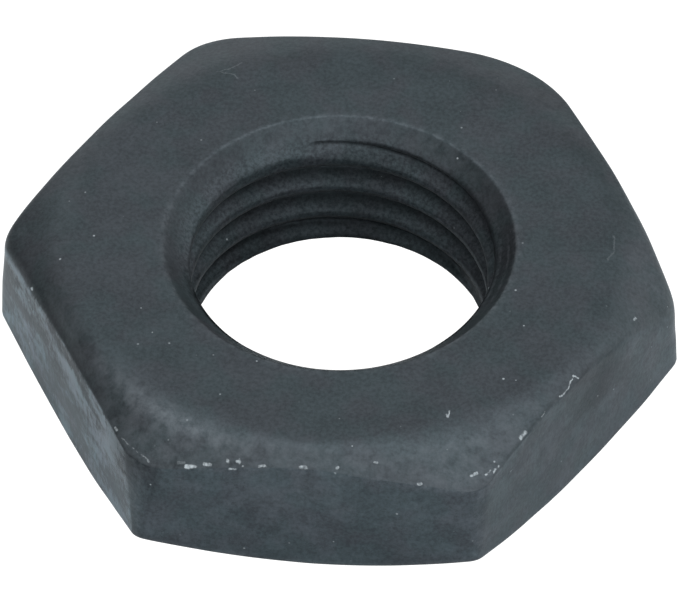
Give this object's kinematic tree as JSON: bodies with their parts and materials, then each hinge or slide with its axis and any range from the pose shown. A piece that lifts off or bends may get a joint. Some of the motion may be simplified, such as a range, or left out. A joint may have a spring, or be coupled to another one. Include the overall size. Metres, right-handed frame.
{
  "type": "thin hexagonal nut",
  "caption": "Thin hexagonal nut in dark finished steel, chamfered on both faces, with a countersunk right-hand fine-threaded bore.",
  "frame": {"origin": "centre of the lower bearing face, on the thread axis", "axes": "+Z along the thread axis towards the upper, more widely countersunk face; +X through one corner of the hexagon"},
  "size_m": [0.0196, 0.017, 0.0048],
  "materials": {
    "dark_steel": "satin black phosphate on steel, fine mottled grain, bright where edges are nicked"
  },
  "bodies": {
    "root": {"nut_body": "dark_steel"}
  },
  "joints": []
}
